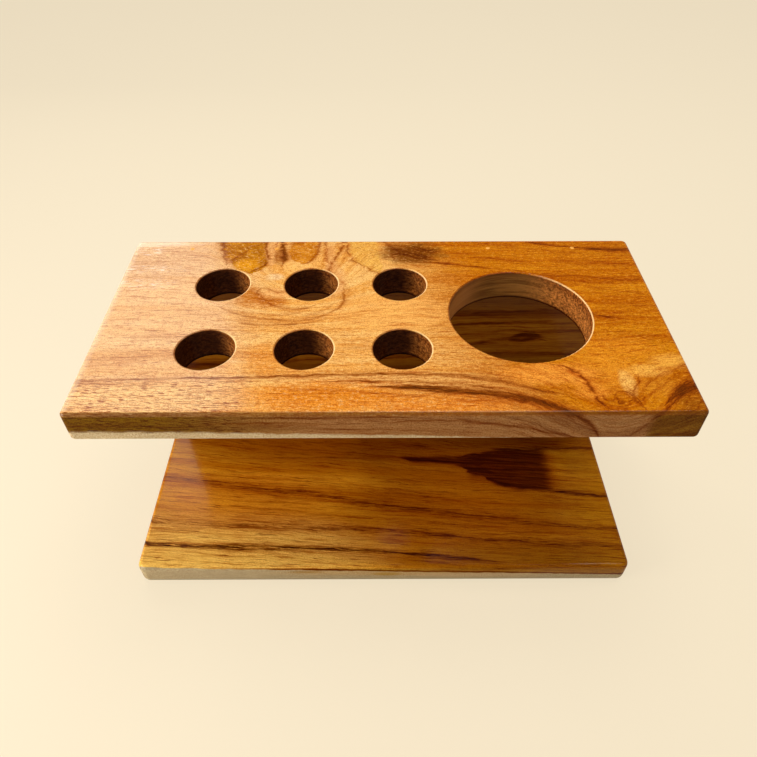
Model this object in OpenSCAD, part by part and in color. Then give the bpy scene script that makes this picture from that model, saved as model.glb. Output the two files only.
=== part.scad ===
// Desk stand made of three wooden boards: a top board bored to hold upright tools and one cup,
// a back board that carries it, and a bottom board that the stand rests on.
// Seen from its end the stand is a C: the bay between the boards is open in front and at both ends.
// The joints are butt joints, glued and nailed through the top and bottom boards.
// Origin: middle of the underside. X runs along the stand, Y to the back, Z up. Millimetres.

/* [Boards] */
// Length of all three boards, left to right
board_length = 300; // [290:1:420]
// Depth of the top and bottom boards, front to back
board_depth = 145; // [130:1:220]
// Thickness of the top board
top_thickness = 18; // [14:0.5:24]
// Thickness of the back board
back_thickness = 18; // [12:0.5:24]
// Thickness of the bottom board
bottom_thickness = 16; // [14:0.5:24]
// Clear height of the bay, which is the height of the back board
bay_height = 120; // [80:1:220]

/* [Holes for tools] */
// Diameter of the small holes
small_hole_d = 30; // [12:0.5:34]
// Number of columns of small holes
small_columns = 3; // [1:1:3]
// Number of rows of small holes
small_rows = 2; // [1:1:2]
// Distance between columns of small holes
column_pitch = 50; // [38:1:52]
// Distance between rows of small holes
row_pitch = 55; // [38:1:60]
// Middle of the small holes, measured to the left of the board's middle
small_holes_offset = 40.5; // [38:0.5:46]

/* [Hole for a cup] */
// Diameter of the large hole
large_hole_d = 76; // [40:0.5:78]
// Middle of the large hole, measured to the right of the board's middle
large_hole_offset = 73.5; // [72:0.5:90]

/* [Rounding] */
// Radius of the top board's edges
top_edge_r = 2; // [1:0.25:3]
// Radius of the top board's corners, seen from above
top_corner_r = 3; // [3:0.5:12]
// Radius of the bottom board's upper edges
bottom_upper_edge_r = 3; // [1:0.25:5]
// Radius of the bottom board's lower edges
bottom_lower_edge_r = 4; // [1:0.25:5]
// Radius of the bottom board's corners, seen from above
bottom_corner_r = 6; // [5:0.5:14]
// Radius of the back board's upright edges
back_edge_r = 2; // [1:0.25:5]
// Radius that eases the rims of the holes
rim_r = 0.8; // [0.4:0.1:1.5]

/* [Nails] */
// Distance of the outer nails from the board's middle
outer_nail_x = 115; // [90:1:130]
// Distance of the inner nails from the board's middle
inner_nail_x = 64; // [20:1:80]
// Length of a nail, from head to point
nail_length = 38; // [30:1:50]
// Diameter of a nail's shank
nail_shank_d = 1.6; // [1.2:0.1:2]
// Diameter of a nail's head, and of the hole that its filler plug closes
nail_head_d = 2.4; // [2.2:0.1:3.4]
// Depth of a nail's head below the surface, which is the height of its filler plug
nail_set_depth = 1.5; // [1:0.1:3]

/* [Hidden] */
$fn = 64;
nail_head_height = 0.8;
nail_point_length = 3;
// Extra reach of a cutter past the faces that it cuts through
past = 1;

// Levels of the three boards
back_base_z = bottom_thickness;
top_base_z = back_base_z + bay_height;
stand_height = top_base_z + top_thickness;
// The back board stands flush with the back edges of the other two
back_board_y = board_depth / 2 - back_thickness / 2;

// Middles of the holes, in the order front row then back row, each left to right
small_hole_places = [
    for (row = [0 : small_rows - 1], column = [0 : small_columns - 1]) [
        (column - (small_columns - 1) / 2) * column_pitch - small_holes_offset,
        (row - (small_rows - 1) / 2) * row_pitch
    ]
];
large_hole_place = [large_hole_offset, 0];

// Nails stand in the middle of the back board's thickness
nail_places = [for (x = [-outer_nail_x, -inner_nail_x, inner_nail_x, outer_nail_x]) [x, back_board_y]];

TOP_PLUGS = [for (i = [1 : len(nail_places)]) str("top_filler_plug_", i)];
BOTTOM_PLUGS = [for (i = [1 : len(nail_places)]) str("bottom_filler_plug_", i)];

// Section of a board that lies flat, with rounded upper and lower edges
module board_section(width, height, upper_r, lower_r) {
    translate([-width / 2, lower_r]) square([width, height - upper_r - lower_r]);
    translate([-width / 2 + lower_r, 0]) square([width - 2 * lower_r, lower_r]);
    translate([-width / 2 + upper_r, height - upper_r]) square([width - 2 * upper_r, upper_r]);
    for (side = [-1, 1]) {
        translate([side * (width / 2 - lower_r), lower_r]) circle(lower_r);
        translate([side * (width / 2 - upper_r), height - upper_r]) circle(upper_r);
    }
}

// Board with every edge and corner rounded: two bars crossing flat, and a turned disc at each corner
module rounded_board(height, corner_r, upper_r, lower_r) {
    rotate([90, 0, 90])
        linear_extrude(board_length - 2 * corner_r, center = true)
            board_section(board_depth, height, upper_r, lower_r);
    rotate([90, 0, 0])
        linear_extrude(board_depth - 2 * corner_r, center = true)
            board_section(board_length, height, upper_r, lower_r);
    for (side = [-1, 1], end = [-1, 1])
        translate([side * (board_length / 2 - corner_r), end * (board_depth / 2 - corner_r), 0])
            rotate_extrude()
                intersection() {
                    board_section(2 * corner_r, height, upper_r, lower_r);
                    square([corner_r, height]);
                }
}

// Cutter for a hole through a board, with both rims eased to a radius
module eased_hole(d, depth) {
    translate([0, 0, -past]) cylinder(d = d, h = depth + 2 * past);
    rim_cutter(d);
    translate([0, 0, depth]) mirror([0, 0, 1]) rim_cutter(d);
}

// Ring that rounds over the lower rim of a hole
module rim_cutter(d) {
    rotate_extrude()
        difference() {
            translate([d / 2 - past, -past]) square([past + rim_r, past + rim_r]);
            translate([d / 2 + rim_r, rim_r]) circle(rim_r);
        }
}

// One nail, head up, with the top of its head at the origin
module nail() {
    translate([0, 0, -nail_head_height])
        cylinder(d = nail_head_d, h = nail_head_height);
    translate([0, 0, nail_point_length - nail_length])
        cylinder(d = nail_shank_d, h = nail_length - nail_point_length - nail_head_height);
    translate([0, 0, -nail_length])
        cylinder(d1 = 0, d2 = nail_shank_d, h = nail_point_length);
}

// Plug of filler above a nail's head, flush with the surface at the origin
module filler_plug() {
    translate([0, 0, -nail_set_depth]) cylinder(d = nail_head_d, h = nail_set_depth);
}

// What a driven and filled nail takes out of the wood
module nail_hole() {
    translate([0, 0, -nail_set_depth]) {
        nail();
        cylinder(d = nail_head_d, h = nail_set_depth + past);
    }
}

// Places of the nails' joints: driven down through the top board, or up through the bottom board
module at_top_joint(place) {
    translate([place.x, place.y, stand_height]) children();
}

module at_bottom_joint(place) {
    translate([place.x, place.y, 0]) mirror([0, 0, 1]) children();
}

module top_board() {
    color("peru")
        difference() {
            translate([0, 0, top_base_z])
                rounded_board(top_thickness, top_corner_r, top_edge_r, top_edge_r);
            for (place = small_hole_places)
                translate([place.x, place.y, top_base_z]) eased_hole(small_hole_d, top_thickness);
            translate([large_hole_place.x, large_hole_place.y, top_base_z])
                eased_hole(large_hole_d, top_thickness);
            for (place = nail_places) at_top_joint(place) nail_hole();
        }
}

module back_board() {
    width = board_length - 2 * back_edge_r;
    depth = back_thickness - 2 * back_edge_r;
    color("saddlebrown")
        difference() {
            translate([0, back_board_y, back_base_z])
                linear_extrude(bay_height) {
                    square([board_length, depth], center = true);
                    square([width, back_thickness], center = true);
                    for (side = [-1, 1], face = [-1, 1])
                        translate([side * width / 2, face * depth / 2]) circle(back_edge_r);
                }
            for (place = nail_places) {
                at_top_joint(place) nail_hole();
                at_bottom_joint(place) nail_hole();
            }
        }
}

module bottom_board() {
    color("chocolate")
        difference() {
            rounded_board(bottom_thickness, bottom_corner_r, bottom_upper_edge_r, bottom_lower_edge_r);
            for (place = nail_places) at_bottom_joint(place) nail_hole();
        }
}

module top_nails() {
    color("silver")
        for (place = nail_places) at_top_joint(place) translate([0, 0, -nail_set_depth]) nail();
}

module bottom_nails() {
    color("silver")
        for (place = nail_places) at_bottom_joint(place) translate([0, 0, -nail_set_depth]) nail();
}

module top_filler_plug(i) {
    color("sandybrown") at_top_joint(nail_places[i]) filler_plug();
}

module bottom_filler_plug(i) {
    color("sandybrown") at_bottom_joint(nail_places[i]) filler_plug();
}

top_board();
back_board();
bottom_board();
top_nails();
bottom_nails();
for (i = [0 : len(nail_places) - 1]) {
    top_filler_plug(i);
    bottom_filler_plug(i);
}
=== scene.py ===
# %% [markdown]
# # A varnished teak tool stand
#
# The stand is three planks: a bored top board, a back board and a bottom board, held
# by nails whose heads are hidden under dots of filler. The CAD model already has the
# right shapes, down to the eased rims of the holes, so nothing is modelled here. This
# lesson is about what a joiner would talk about instead: the figure of the wood, the
# sapwood along its edge, the rough walls of the holes and the varnish.
#
# Wood could be painted with pictures of wood. Here each board is worked out from the
# place that is being shaded, so the grain runs on over the edges and down the holes.

import math

import bpy
from mathutils import Matrix, Vector


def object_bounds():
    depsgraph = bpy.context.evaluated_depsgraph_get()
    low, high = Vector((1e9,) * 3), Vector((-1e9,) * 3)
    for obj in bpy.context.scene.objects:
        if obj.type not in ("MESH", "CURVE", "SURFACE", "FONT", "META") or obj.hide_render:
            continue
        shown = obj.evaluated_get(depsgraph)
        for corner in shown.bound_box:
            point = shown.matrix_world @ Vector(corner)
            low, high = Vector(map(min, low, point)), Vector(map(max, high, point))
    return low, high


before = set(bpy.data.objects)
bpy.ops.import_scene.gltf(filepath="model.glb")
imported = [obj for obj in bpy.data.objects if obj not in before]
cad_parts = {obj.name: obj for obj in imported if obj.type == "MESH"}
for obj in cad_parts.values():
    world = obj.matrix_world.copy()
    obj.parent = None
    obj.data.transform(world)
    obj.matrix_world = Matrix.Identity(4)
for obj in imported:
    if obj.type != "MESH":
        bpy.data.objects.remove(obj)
cad_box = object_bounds()
print("CAD box in metres:", cad_box)

# %% [markdown]
# ## The places that the lesson needs
#
# A joiner works in millimetres, so the box around the stand is turned into them once.
# The faces of the boards follow from it and from the thickness of two planks.

# %% Faces of the stand in millimetres
MM_IN_A_METRE = 1000.0
left_end, front, foot = (round(part * MM_IN_A_METRE, 1) for part in cad_box[0])
right_end, back, top_face = (round(part * MM_IN_A_METRE, 1) for part in cad_box[1])
BOTTOM_THICKNESS = 16.0
BACK_THICKNESS = 18.0
bottom_face = foot + BOTTOM_THICKNESS
back_board_face = back - BACK_THICKNESS
board_depth = back - front
board_length = right_end - left_end
print("board:", board_length, "long and", board_depth, "deep, in mm")

# %% [markdown]
# ## The camera
#
# A tripod stands a little in front of the stand and looks down at 44 degrees. The
# camera could be aimed with a constraint, but three turns say more plainly how it is
# held: pitch, yaw and roll.

# %% Camera
SENSOR_MM = 36.0
PICTURE_PX = 757
FOCAL_PX = 652.42
CAMERA_AT = Vector((-0.00322, -0.27440, 0.37435))
PITCH, YAW, ROLL = (math.radians(angle) for angle in (44.380, 0.126, -0.108))


def add_camera():
    lens = bpy.data.cameras.new("camera")
    lens.sensor_width = SENSOR_MM
    lens.lens = SENSOR_MM * FOCAL_PX / PICTURE_PX
    camera = bpy.data.objects.new("camera", lens)
    bpy.context.collection.objects.link(camera)
    ahead = Vector((math.sin(YAW) * math.cos(PITCH), math.cos(YAW) * math.cos(PITCH),
                    -math.sin(PITCH)))
    side = Vector((math.cos(YAW), -math.sin(YAW), 0.0))
    up = side.cross(ahead)
    turned_side = math.cos(ROLL) * side + math.sin(ROLL) * up
    turned_up = math.cos(ROLL) * up - math.sin(ROLL) * side
    turn = Matrix((turned_side, turned_up, -ahead)).transposed()
    camera.matrix_world = Matrix.Translation(CAMERA_AT) @ turn.to_4x4()
    bpy.context.scene.camera = camera
    return camera


camera = add_camera()
print("lens in mm:", round(camera.data.lens, 2))

# %% [markdown]
# ## Colours
#
# Colours are written as a painter's swatch, 0 to 255, and turned into the linear
# numbers that shaders work with. That way a colour can be matched by eye to a chip of
# real wood and still mix as light does.


# %% Swatches
def swatch(red, green, blue):
    def linear(level):
        part = level / 255
        return part / 12.92 if part <= 0.04045 else ((part + 0.055) / 1.055) ** 2.4
    return (linear(red), linear(green), linear(blue), 1.0)


CREAM = swatch(247, 232, 203)
print("cream in linear numbers:", [round(part, 3) for part in CREAM])

# %% [markdown]
# ## Shader maths as Python
#
# A wood is mostly arithmetic: stretch, add, mask. Wiring Math nodes by hand soon hides
# what they do. `Wire` wraps one output socket and overloads the operators, so that
# `1 - mask * 0.5` adds the Math nodes by itself and still reads as arithmetic.


# %% Wires
class Wire:
    """A number, colour or vector that varies over a surface."""

    def __init__(self, bench, socket):
        self.bench, self.socket = bench, socket

    def _math(self, operation, first, second=0.0):
        return self.bench.add("ShaderNodeMath", {"operation": operation}, first, second)

    def __add__(self, other):
        return self._math("ADD", self, other)

    __radd__ = __add__

    def __sub__(self, other):
        return self._math("SUBTRACT", self, other)

    def __rsub__(self, other):
        return self._math("SUBTRACT", other, self)

    def __mul__(self, other):
        return self._math("MULTIPLY", self, other)

    __rmul__ = __mul__

    def __truediv__(self, other):
        return self._math("DIVIDE", self, other)

    def __rtruediv__(self, other):
        return self._math("DIVIDE", other, self)

    def __pow__(self, other):
        return self._math("POWER", self, other)

    def __abs__(self):
        return self._math("ABSOLUTE", self)

    def exponent(self):
        return self._math("EXPONENT", self)

    def sine(self):
        return self._math("SINE", self)

    def least(self, other):
        return self._math("MINIMUM", self, other)

    def most(self, other):
        return self._math("MAXIMUM", self, other)

    def outputs(self):
        """Every output of the node behind this wire, by name."""
        return {socket.name: Wire(self.bench, socket) for socket in self.socket.node.outputs}


print("operations that a wire knows:", sum(callable(part) for part in vars(Wire).values()))

# %% [markdown]
# ## The bench
#
# A bench is one node tree with the tools to lay nodes down. All nodes come from one
# method, which takes the kind, its settings and what goes into its sockets. A curve
# is a setting too: it is drawn through its points before anything is plugged in. An
# output node has nothing to hand on, so it is the one kind that gives no wire back.


# %% Bench
def draw_curve(mapping, points):
    line = mapping.curves[0]
    for extra in range(len(points) - len(line.points)):
        line.points.new(0.5, 0.5)
    for point, place in zip(line.points, points):
        point.location = place
        point.handle_type = "AUTO"
    mapping.use_clip = False
    mapping.extend = "HORIZONTAL"
    mapping.update()


class Bench:
    """The node tree of a material or of the world, where nodes are laid down and wired."""

    def __init__(self, owner):
        owner.use_nodes = True
        self.owner, self.tree = owner, owner.node_tree
        self.tree.nodes.clear()

    @classmethod
    def named(cls, name):
        return cls(bpy.data.materials.new(name))

    def add(self, kind, settings, *values, out=0, **named):
        """Adds a node: its settings first, then the values or wires of its sockets."""
        node = self.tree.nodes.new(kind)
        for name, setting in settings.items():
            if name == "curve":
                draw_curve(node.mapping, setting)
            else:
                setattr(node, name, setting)
        places = list(enumerate(values)) + [(n.replace("_", " "), v) for n, v in named.items()]
        for place, value in places:
            if isinstance(value, Wire):
                self.tree.links.new(value.socket, node.inputs[place])
            elif value is not None:
                node.inputs[place].default_value = value
        return Wire(self, node.outputs[out]) if node.outputs else None

    def finish(self, shader, kind="ShaderNodeOutputMaterial"):
        """Plugs the shader into the tree's output and hands back the tree's owner."""
        self.add(kind, {}, Surface=shader)
        return self.owner


print("benches are ready for", len(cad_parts), "CAD nodes")

# %% [markdown]
# ## Masks and mixing
#
# Finishing is done in coats: where, how much, which colour. `smooth` makes the where.
# `blend` lays an opaque coat and `stain` a clear one, which darkens what lies below,
# as spirit stain does. Both mix in linear colour through a Mix node.


# %% Masks and mixing
def smooth(value, low, high):
    """0 below low, 1 above high and an S between them; low may be the larger one."""
    return value.bench.add("ShaderNodeMapRange", {"interpolation_type": "SMOOTHSTEP"},
                           value, low, high, 0.0, 1.0)


def mix_colours(mode, amount, first, second):
    other_kinds = [None] * 5
    return amount.bench.add("ShaderNodeMix", {"data_type": "RGBA", "blend_type": mode},
                            amount, *other_kinds, first, second, out=2)


def blend(amount, first, second):
    """The second colour where amount is 1."""
    return mix_colours("MIX", amount, first, second)


def stain(colour, amount, tint):
    """Multiplies a colour by a tint where amount is 1, as a stain soaks in."""
    return mix_colours("MULTIPLY", amount, colour, tint)


def blend_values(amount, first, second):
    return first + (second - first) * amount


print("a half and half of black and white is", blend_values(0.5, 0.0, 1.0))

# %% [markdown]
# ## A board's own ruler
#
# Every pattern below is placed with a joiner's ruler in millimetres: `along` runs from
# the middle of the board to its ends, `across` from one long edge to the other, and
# `deep` into the board. Wood is solid, so a pattern that also reads `deep` carries on
# down the edges and through the holes, as real grain does. `face` is `across` on the
# planed face and goes on below zero down the front edge, as if the board were unfolded.


# %% Ruler
class Ruler:
    """Millimetres along, across and into one board."""

    def __init__(self, bench, across_axis, across_zero, deep_axis, deep_zero, deep_sign):
        place = bench.add("ShaderNodeTexCoord", {}, out="Object")
        in_mm = bench.add("ShaderNodeVectorMath", {"operation": "SCALE"}, place,
                          Scale=MM_IN_A_METRE)
        axes = bench.add("ShaderNodeSeparateXYZ", {}, in_mm).outputs()
        self.bench = bench
        self.along = axes["X"]
        self.across = axes[across_axis] - across_zero
        self.deep = (axes[deep_axis] - deep_zero) * deep_sign
        self.face = self.across - self.deep


TOP_RULER = ("Y", front, "Z", top_face, -1.0)
BOTTOM_RULER = ("Y", front, "Z", bottom_face, -1.0)
BACK_RULER = ("Z", bottom_face, "Y", back_board_face, 1.0)
print("the faces lie at", top_face, bottom_face, back_board_face, "mm")

# %% [markdown]
# ## Grain
#
# Grain is noise that has been drawn out: a mark may be 300 mm long and 7 mm wide for a
# band of colour, or 7 mm long and half a millimetre wide for a fibre. A picture of
# grain would stretch at the edges; noise in three directions does not. `drift` is the
# slow bend of a tree and the shake of each line, because nothing in wood is straight.


# %% Grain
def cloud(bench, x, y, z, detail=2.0, roughness=0.5):
    """Noise from 0 to 1 at a place given by three wires or numbers."""
    where = bench.add("ShaderNodeCombineXYZ", {}, x, y, z)
    return bench.add("ShaderNodeTexNoise", {}, Vector=where, Scale=1.0, Detail=detail,
                     Roughness=roughness)


def clumps(ruler, long, wide, thick, detail, roughness):
    """Noise in clumps of so many millimetres along, across and into the board."""
    return cloud(ruler.bench, ruler.along / long, ruler.across / wide, ruler.deep / thick,
                 detail, roughness)


def grain(ruler, rings, length, width, seed, detail, roughness=0.5):
    """Noise drawn out along the board, as fine as width across its rings."""
    return cloud(ruler.bench, ruler.along / length + seed, rings / width,
                 ruler.deep / (width * 8) + seed, detail, roughness)


def drift(ruler, long, wide, thick, seed, reach, roughness=0.5):
    """A wandering of reach millimetres in all, in clumps of the given sizes."""
    noise = cloud(ruler.bench, ruler.along / long, ruler.across / wide,
                  ruler.deep / thick + seed, 2.0, roughness)
    return (noise - 0.5) * reach


print("a fibre 7 mm long and 0.5 mm wide is drawn out", 7 / 0.5, "times")

# %% [markdown]
# ## A board on the bench
#
# Each board keeps its ruler, its drift and its grain together. Its growth rings are
# given later, because each board's rings bend in their own way, and the grain at every
# scale then follows them.

# %% Board
SHAKE = 2.4


class Board:
    """A board's ruler, its drift and its grain at several scales."""

    def __init__(self, name, ruler_at, wander, shake):
        self.bench = Bench.named(name)
        self.ruler = Ruler(self.bench, *ruler_at)
        wander_long, wander_seed, wander_reach = wander
        shake_long, shake_seed = shake
        self.wander = drift(self.ruler, wander_long, 30, 40, wander_seed, wander_reach)
        self.ragged = drift(self.ruler, shake_long, 3, 8, shake_seed, SHAKE, 0.6)
        self.v = self.ruler.face + self.ragged

    def grow(self, rings, recipe):
        """Makes each scale of grain: (length, width, seed, detail, roughness)."""
        for scale, settings in recipe.items():
            setattr(self, scale, grain(self.ruler, rings, *settings))
        self.tone = smooth(self.bands, 0.34, 0.66)
        self.streaks = self.strokes * 0.5 + self.fibres * 0.5


print("every line shakes by up to", SHAKE / 2, "mm")

# %% [markdown]
# ## Places on a face
#
# Some marks have a place: a paler wash, a burl, a knot. `spot` is a soft oval for a
# wash. `hill` has the same shape but is added to the rings, which then flow round it
# as they do round a knot.


# %% Ovals
def far(ruler, x, y, wide, tall):
    """Squared distance from a place on the face, 1 on an oval round it."""
    dx, dy = (ruler.along - x) / wide, (ruler.face - y) / tall
    return dx * dx + dy * dy


def hill(ruler, x, y, wide, tall, height):
    """A bell-shaped rise in millimetres that bends the growth rings."""
    return (far(ruler, x, y, wide, tall) * -1.0).exponent() * height


def spot(ruler, x, y, wide, tall, waver=0.0):
    """A soft oval, 1 in its middle."""
    return smooth(far(ruler, x, y, wide, tall) + waver, 1.0, 0.0)


def wash(ruler, colour, washes, waver=0.0, within=1.0):
    """Lays ovals of colour, each given as (x, y, half width, half height), tint, amount."""
    for place, tint, amount in washes:
        mask = spot(ruler, *place, waver) * (amount * within)
        colour = blend(mask, colour, swatch(*tint))
    return colour


print("a hill falls to", round(math.exp(-1), 2), "of its height on its oval")

# %% [markdown]
# ## A pencil for the big lines
#
# The bold dark lines are what makes this wood this wood, so they are drawn rather than
# left to noise. A stroke is a few points with a half width each. Two curve nodes carry them:
# one reads where the centre of the line lies, the other how wide it is there. Hundreds of
# dots could be painted instead, but a curve is smooth at any size and its points can be
# moved one by one.

# %% Pencil
REACH = board_length
TENTHS = 10
HAIRLINE = 0.00002
LIFT = 3.0


def fraction(value):
    """A place in millimetres as a fraction that a curve node can read."""
    return value / REACH + 0.5


class Pencil:
    """Draws soft strokes: run goes along the stroke and off is where its centre lies."""

    def __init__(self, run, off):
        self.run, self.off = fraction(run), fraction(off)

    def read(self, curve):
        return self.run.bench.add("ShaderNodeFloatCurve", {"curve": curve}, 1.0, self.run)

    def trace(self, points):
        """How far off the centre line and the half width there, both in tenths of REACH."""
        (start, start_off, _), (end, end_off, _) = points[0], points[-1]
        points = [(start - LIFT, start_off, 0), *points, (end + LIFT, end_off, 0)]
        centre = self.read([(fraction(run), fraction(off)) for run, off, _ in points])
        half = self.read([(fraction(run), wide * TENTHS / REACH) for run, _, wide in points])
        return abs(self.off - centre) * TENTHS, half.most(0.0)

    def stroke(self, points, body):
        """1 along (run, off, half width) points; the more body, the shorter its soft tails."""
        gap, half = self.trace(points)
        wide = half * half
        return (wide / (gap * gap + wide + HAIRLINE)) ** body

    def fill(self, points, soft):
        """The same outline filled in, with an edge that is soft over so many millimetres."""
        gap, half = self.trace(points)
        return smooth(half - gap, -soft * TENTHS / REACH, soft * TENTHS / REACH)

    def patch(self, points):
        """A broad stroke filled in flat, with a crisp outline."""
        return smooth(self.stroke(points, 3.0), 0.06, 0.2)

    def drawing(self, strokes, body):
        """The darkest of several (strength, points) strokes at each place."""
        ink = 0.0
        for strength, points in strokes:
            ink = (self.stroke(points, body) * strength).most(ink)
        return ink


print("a curve reads places up to", REACH / 2, "mm from the middle")

# %% [markdown]
# ## Resin lines
#
# A dark line in teak is resin and dense late wood. Its border is a warm stain and only
# its core is dark brown. `broken` lets the fine streaks cut through a line, so that it
# looks grown and not drawn.


# %% Resin lines
def broken(ink, streaks, amount):
    """Lets streaks break a mark up: amount 0 leaves it whole, 1 breaks it right through."""
    return ink * (1 - (1 - streaks) * amount)


def darken(colour, ink, darkest):
    """Resin lines: a warm stain first, then dark brown where the ink is full."""
    colour = stain(colour, (ink * 1.4).least(1.0), swatch(200, 146, 64))
    return blend(smooth(ink, 0.3, 1.0) * 0.95, colour, darkest)


print("a full line that is half broken keeps", broken(1.0, 0.0, 0.5))

# %% [markdown]
# ## Sawn ends
#
# A sawn end shows the growth rings as arcs round the heart of the tree, and its open
# pores drink the varnish, so it is darker than a face. The heart lies well below the
# board, because a wide plank is sawn far from it.

# %% Sawn ends
HEART_ACROSS, HEART_BELOW = 60.0, 70.0
RADIANS_PER_MM = 1.6


def end_grain(ruler, colour):
    """Arcs of growth rings and open pores on both ends."""
    bench = ruler.bench
    ends = smooth(abs(ruler.along), right_end - 1.1, right_end - 0.3)
    aside, below = ruler.across - HEART_ACROSS, ruler.deep + HEART_BELOW
    warp = (cloud(bench, 0.0, ruler.across / 30, ruler.deep / 30) - 0.5) * 6
    rings = (((aside * aside + below * below) ** 0.5 + warp) * RADIANS_PER_MM).sine()
    pores = cloud(bench, ruler.along, ruler.across / 0.5, ruler.deep / 0.5, 1.0)
    sawn = stain(colour, smooth(rings, -0.8, 1.0) * 0.4 + 0.35, swatch(184, 132, 86))
    sawn = stain(sawn, smooth(pores, 0.48, 0.34) * 0.8, swatch(130, 86, 52))
    return blend(ends, colour, sawn)


print("growth rings are", round(2 * math.pi / RADIANS_PER_MM, 1), "mm apart")

# %% [markdown]
# ## Varnish
#
# Varnish is a clear film, so the wood under it stays matt and the coat alone carries
# the shine. A glossy base would lay a second, milky shine over the colour. The bump
# is shallow: an open pore pulls the film down by less than a tenth of a millimetre.

# %% Varnish
PORE_DEPTH = 0.0003
COAT_ROUGHNESS = 0.14


def varnish(bench, colour, roughness, height, coat, depth=PORE_DEPTH):
    """Matt wood under a clear coat: the coat alone carries the shine."""
    bump = bench.add("ShaderNodeBump", {}, Strength=1.0, Distance=depth, Height=height)
    return bench.add("ShaderNodeBsdfPrincipled", {}, Base_Color=colour, Roughness=roughness,
                     Normal=bump, Specular_IOR_Level=0.0, Coat_Weight=coat,
                     Coat_Roughness=COAT_ROUGHNESS)


print("a height of 1 is", PORE_DEPTH * MM_IN_A_METRE, "mm")

# %% [markdown]
# ## The top board: what was sawn through
#
# The top board was cut where a branch had left. Long rings run past the holes, a burl
# stands at the back and a pin knot sits near the right front corner. The lists are
# strokes: a strength and then points of (along, across, half width). Strokes below zero
# run down the front edge.

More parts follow.
